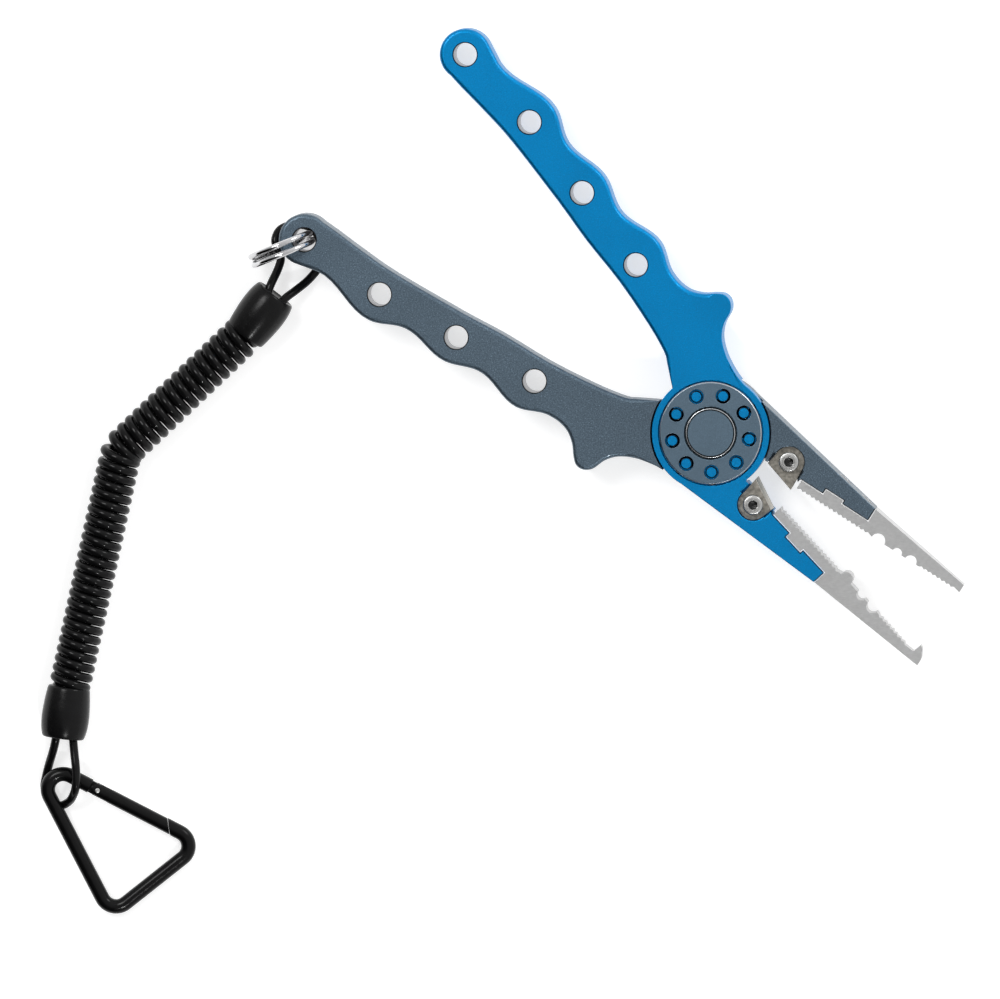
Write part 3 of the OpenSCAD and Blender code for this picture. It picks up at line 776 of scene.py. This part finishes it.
def hook_tongue(pin, pin_axis, wire_end):
    """The flat tongue at the wire's end, round about the pin, on which the gate turns."""
    out = (pin - wire_end).normalized()
    across = pin_axis.cross(out).normalized()
    half_width, half_thick = 1.5 * MM, pin_axis * 0.6 * MM
    steps = 24
    outline = []
    for i in range(steps + 1):
        a = -math.pi / 2 + math.pi * i / steps
        outline.append(pin + (out * math.cos(a) + across * math.sin(a)) * half_width)
    back = wire_end - out * 1.2 * MM
    outline = [back - across * half_width] + outline + [back + across * half_width]
    count = len(outline)
    points = [p - half_thick for p in outline] + [p + half_thick for p in outline]
    faces = [tuple(range(count)), tuple(reversed(range(count, 2 * count)))]
    faces += [((k + 1) % count, k, k + count, (k + 1) % count + count) for k in range(count)]
    mesh = mesh_from("hook_tongue_v", points, faces)
    bm = bmesh.new()
    bm.from_mesh(mesh)
    bevel(bm, sharp_edges(bm, 50), 0.12 * MM, 2)
    bm.to_mesh(mesh)
    bm.free()
    finish_shading(new_object(mesh.name, mesh, BODY["snap_hook"], SLOT["snap_hook"]), 50)


pin_at, pin_direction = [Vector(JOINTS["gate_open"][key]) for key in ("pos_m", "axis")]
hook_tongue(pin_at, pin_direction.normalized(), hook_wire(pin_at))
keep("snap_gate", 0.12 * MM)
keep("gate_pin", 0.1 * MM)


# ---------------------------------------------------------------- materials

class Look:
    """A Principled material built up from noise in the object's own coordinates."""

    def __init__(self, name, colour, metallic, roughness):
        self.material = bpy.data.materials.new(name)
        self.material.use_nodes = True
        self.tree = self.material.node_tree
        self.shader = self.tree.nodes["Principled BSDF"]
        self.shader.inputs["Base Color"].default_value = (*colour, 1)
        self.shader.inputs["Metallic"].default_value = metallic
        self.shader.inputs["Roughness"].default_value = roughness
        self.colour = None
        self.place = self.add("ShaderNodeTexCoord").outputs["Object"]

    def add(self, kind, **settings):
        node = self.tree.nodes.new(kind)
        for key, value in settings.items():
            setattr(node, key, value)
        return node

    def join(self, source, target):
        self.tree.links.new(source, target)

    def set(self, **inputs):
        for name, value in inputs.items():
            self.shader.inputs[name.replace("_", " ")].default_value = value
        return self

    def noise(self, size, detail, turn_deg=0.0, stretch=1.0):
        """Noise with features of about size; stretch makes them longer along one direction."""
        mapping = self.add("ShaderNodeMapping")
        mapping.inputs["Rotation"].default_value = (0, 0, math.radians(-turn_deg))
        mapping.inputs["Scale"].default_value = (1 / stretch, 1, 1)
        self.join(self.place, mapping.inputs["Vector"])
        noise = self.add("ShaderNodeTexNoise")
        noise.inputs["Scale"].default_value = 1 / size
        noise.inputs["Detail"].default_value = detail
        self.join(mapping.outputs["Vector"], noise.inputs["Vector"])
        return noise.outputs["Fac"]

    def spread(self, value, low, high, from_low=0.3, from_high=0.7):
        node = self.add("ShaderNodeMapRange")
        for key, number in (("From Min", from_low), ("From Max", from_high),
                            ("To Min", low), ("To Max", high)):
            node.inputs[key].default_value = number
        self.join(value, node.inputs["Value"])
        return node.outputs["Result"]

    def tint(self, value, darkest, lightest):
        """Multiplies the colour by a factor that follows value."""
        node = self.add("ShaderNodeMix", data_type="RGBA", blend_type="MULTIPLY")
        node.inputs["Factor"].default_value = 1
        if self.colour is None:
            node.inputs["A"].default_value = self.shader.inputs["Base Color"].default_value
        else:
            self.join(self.colour, node.inputs["A"])
        self.join(self.spread(value, darkest, lightest), node.inputs["B"])
        self.colour = node.outputs["Result"]
        self.join(self.colour, self.shader.inputs["Base Color"])
        return self

    def rough(self, value, low, high):
        self.join(self.spread(value, low, high), self.shader.inputs["Roughness"])
        return self

    def bump(self, value, depth, strength):
        node = self.add("ShaderNodeBump")
        node.inputs["Distance"].default_value = depth
        node.inputs["Strength"].default_value = strength
        self.join(value, node.inputs["Height"])
        if self.shader.inputs["Normal"].is_linked:
            self.join(self.shader.inputs["Normal"].links[0].from_socket, node.inputs["Normal"])
        self.join(node.outputs["Normal"], self.shader.inputs["Normal"])
        return self


def anodised(name, colour, roughness, grain):
    """Bead-blasted anodised aluminium: fine grain, bright flecks, a slow mottle and a sheen."""
    look = Look(name, colour, 0.95, roughness)
    look.tint(look.noise(0.33 * MM, 2), 1 - grain, 1 + grain)
    flecks = look.spread(look.noise(0.26 * MM, 1), 0, 1, 0.58, 0.72)
    look.tint(flecks, 1, 1 + 2.4 * grain)
    look.tint(look.noise(14 * MM, 1), 0.95, 1.05)
    look.rough(look.noise(0.5 * MM, 1), roughness - 0.06, roughness + 0.06)
    look.bump(look.noise(0.2 * MM, 2), 0.012 * MM, 0.6)
    look.set(Coat_Weight=0.16, Coat_Roughness=0.12)
    return look


def brushed(name, colour, roughness, turn_deg, mottle=0.04):
    """Steel with fine lines at turn_deg to the X axis, and blotches of the strength mottle."""
    look = Look(name, colour, 0.9, roughness)
    lines = look.noise(0.12 * MM, 3, turn_deg, 14)
    look.tint(lines, 0.93, 1.06)
    look.tint(look.noise(0.9 * MM, 4), 1 - mottle, 1 + mottle)
    look.rough(lines, roughness - 0.05, roughness + 0.07)
    look.bump(lines, 0.006 * MM, 0.5)
    return look


def glossy_black(name, level, roughness, bumpiness):
    look = Look(name, (level, level, level * 1.05), 0, roughness)
    look.set(Specular_IOR_Level=0.16)
    look.tint(look.noise(2.5 * MM, 2), 0.85, 1.2)
    look.rough(look.noise(1.2 * MM, 3), roughness - 0.05, roughness + 0.08)
    look.bump(look.noise(0.8 * MM, 3), bumpiness, 0.5)
    return look


def turned_metal(name, colour, roughness):
    look = Look(name, colour, 1.0, roughness)
    look.tint(look.noise(0.4 * MM, 3), 0.92, 1.05)
    look.rough(look.noise(0.25 * MM, 2), roughness - 0.06, roughness + 0.08)
    look.bump(look.noise(0.15 * MM, 2), 0.004 * MM, 0.4)
    return look


LOOKS = {
    "blue_anodised": anodised("blue_anodised", (0.0, 0.21, 0.49), 0.46, 0.1),
    "grey_anodised": anodised("grey_anodised", (0.09, 0.127, 0.163), 0.44, 0.3),
    "cover_anodised": anodised("cover_anodised", (0.113, 0.169, 0.222), 0.42, 0.09),
    "jaw_steel": brushed("jaw_steel", (0.53, 0.53, 0.53), 0.36, -40),
    "cutter_metal": brushed("cutter_metal", (0.26, 0.245, 0.215), 0.46, 20, 0.4),
    "screw_steel": turned_metal("screw_steel", (0.52, 0.52, 0.51), 0.34),
    "spring_steel": turned_metal("spring_steel", (0.45, 0.45, 0.45), 0.3),
    "bushing_bronze": turned_metal("bushing_bronze", (0.52, 0.33, 0.12), 0.4),
    "ring_chrome": turned_metal("ring_chrome", (0.62, 0.62, 0.63), 0.09),
    "cord": glossy_black("cord", 0.004, 0.14, 0.01 * MM),
    "cuff": glossy_black("cuff", 0.004, 0.22, 0.02 * MM),
    "hook_coating": glossy_black("hook_coating", 0.003, 0.16, 0.01 * MM),
    "washer_plastic": Look("washer_plastic", (0.75, 0.74, 0.7), 0, 0.5),
}
LOOKS["washer_plastic"].tint(LOOKS["washer_plastic"].noise(1 * MM, 2), 0.92, 1.04)
BARE = turned_metal("bare_aluminium", (0.56, 0.56, 0.57), 0.4)
# Near-black painted shade inside the screws' hexagon sockets
SOCKET_PAINTED_SHADE = turned_metal("socket_painted_shade", (0.04, 0.04, 0.04), 0.4)
GROUND = brushed("ground_edge", (0.8, 0.77, 0.7), 0.4, 20)
# Near-black painted shade for the hole rims, the seat chamfers and the bolt's outer chamfer and
# groove
BLUE_PAINTED_SHADE = anodised("blue_painted_shade", (0, 0.015, 0.035), 0.5, 0.05)
GREY_PAINTED_SHADE = anodised("grey_painted_shade", (0.008, 0.01, 0.012), 0.5, 0.05)
# Lighter bare-metal finish on the cover's outer chamfer and the bolt's ring, a painted highlight
EDGE_PAINTED_HIGHLIGHT = turned_metal("edge_painted_highlight", (0.5, 0.52, 0.54), 0.3)
# Light, glowing material on the jaw plates' edge rounds, a painted highlight
PLATE_EDGE_PAINTED_HIGHLIGHT = Look("plate_edge_painted_highlight", (0.8, 0.8, 0.8), 0.2, 0.4)
PLATE_EDGE_PAINTED_HIGHLIGHT.tint(PLATE_EDGE_PAINTED_HIGHLIGHT.noise(0.5 * MM, 3), 0.85, 1.1)
PLATE_EDGE_PAINTED_HIGHLIGHT.set(Emission_Color=(1, 1, 1, 1), Emission_Strength=0.3)


EXTRA = {"grey_lever_v": [BARE, GREY_PAINTED_SHADE], "blue_lever_v": [BARE, BLUE_PAINTED_SHADE],
         "grey_cutter_screw_v": [SOCKET_PAINTED_SHADE], "blue_cutter_screw_v": [SOCKET_PAINTED_SHADE],
         "blue_cutter": [GROUND],
         "pivot_bolt_v": [EDGE_PAINTED_HIGHLIGHT, GREY_PAINTED_SHADE], "pivot_cover": [EDGE_PAINTED_HIGHLIGHT],
         "grey_jaw_plate": [PLATE_EDGE_PAINTED_HIGHLIGHT], "blue_jaw_plate": [PLATE_EDGE_PAINTED_HIGHLIGHT]}


def dress(piece, slot):
    """Gives a piece its slot's material, and its marked faces the others it has."""
    index = [0] * len(piece.data.polygons)
    piece.data.polygons.foreach_get("material_index", index)
    piece.data.materials.clear()
    piece.data.materials.append(LOOKS[slot].material)
    for look in EXTRA.get(piece.name, []):
        piece.data.materials.append(look.material)
    piece.data.polygons.foreach_set("material_index", index)


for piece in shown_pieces():
    dress(piece, piece.get("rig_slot") or SLOT[piece["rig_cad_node"]])


# ---------------------------------------------------------------- stage, light and camera

PICTURE_CENTRE = Vector((-52 * MM, -16.8 * MM, 5 * MM))
PICTURE_W = 245 * MM
VIEW = Vector((0.0836, 0.0627, 0.9945)).normalized()     # from the object to the camera
LENS, SENSOR = 500, 36
TOWARD_LIGHT = Vector((0.6, 0.55, -0.35))
LIGHT_CURVE = ((0.03, 0.0), (0.12, 0.06), (0.19, 0.3), (0.256, 0.57), (0.4, 0.68))
LIGHTEST = 1.1                                           # strength at the bright end


def floor():
    bpy.ops.mesh.primitive_plane_add(
        size=4, location=(PICTURE_CENTRE.x, PICTURE_CENTRE.y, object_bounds()[0].z))
    plane = bpy.context.object
    plane.name = "floor"
    plane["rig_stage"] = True
    ground = Look("floor", (0.6, 0.6, 0.6), 0, 0.7)
    ground.set(Emission_Color=(1, 1, 1, 1), Emission_Strength=0.62)
    plane.data.materials.append(ground.material)


def softbox(name, direction, distance, size, watts):
    data = bpy.data.lights.new(name, "AREA")
    data.shape = "DISK"
    data.size = size
    data.energy = watts
    light = bpy.data.objects.new(name, data)
    direction = Vector(direction).normalized()
    light.location = PICTURE_CENTRE + direction * distance
    light.rotation_euler = direction.to_track_quat("Z", "Y").to_euler()
    bpy.context.scene.collection.objects.link(light)


def studio():
    """White surroundings that darken away from TOWARD_LIGHT. LIGHT_CURVE gives the strength
    at places from the dark end, 0, to the bright one, 1."""
    world = bpy.data.worlds.new("studio")
    bpy.context.scene.world = world
    world.use_nodes = True
    tree = world.node_tree
    background = tree.nodes["Background"]
    background.inputs["Color"].default_value = (1, 1, 1, 1)
    direction = tree.nodes.new("ShaderNodeTexCoord")
    toward = tree.nodes.new("ShaderNodeVectorMath")
    toward.operation = "DOT_PRODUCT"
    toward.inputs[1].default_value = TOWARD_LIGHT
    tree.links.new(direction.outputs["Generated"], toward.inputs[0])
    place = tree.nodes.new("ShaderNodeMapRange")
    place.inputs["From Min"].default_value = -TOWARD_LIGHT.length
    place.inputs["From Max"].default_value = TOWARD_LIGHT.length
    tree.links.new(toward.outputs["Value"], place.inputs["Value"])
    level = tree.nodes.new("ShaderNodeFloatCurve")
    for at, strength in LIGHT_CURVE:
        level.mapping.curves[0].points.new(at, strength / LIGHTEST)
    level.mapping.update()
    tree.links.new(place.outputs["Result"], level.inputs["Value"])
    scaled = tree.nodes.new("ShaderNodeMath")
    scaled.operation = "MULTIPLY"
    scaled.inputs[1].default_value = LIGHTEST
    tree.links.new(level.outputs["Value"], scaled.inputs[0])
    tree.links.new(scaled.outputs["Value"], background.inputs["Strength"])


def camera():
    data = bpy.data.cameras.new("camera")
    data.sensor_width = SENSOR
    data.lens = LENS
    data.clip_start, data.clip_end = 0.1, 20
    eye = bpy.data.objects.new("camera", data)
    bpy.context.scene.collection.objects.link(eye)
    eye.location = PICTURE_CENTRE + VIEW * (PICTURE_W * LENS / SENSOR)
    right = Vector((0, 1, 0)).cross(VIEW).normalized()
    eye.rotation_euler = Matrix((right, VIEW.cross(right), VIEW)).transposed().to_euler()
    bpy.context.scene.camera = eye
    bpy.context.scene.view_settings.view_transform = "Standard"


floor()
softbox("key", (-0.45, 0.5, 1), 1.2, 0.5, 5)
softbox("rim", (0.62, 0.6, 0.5), 1.2, 0.4, 3)
softbox("spark", (0.12, -0.6, 0.75), 1.3, 0.07, 3.5)
studio()
camera()
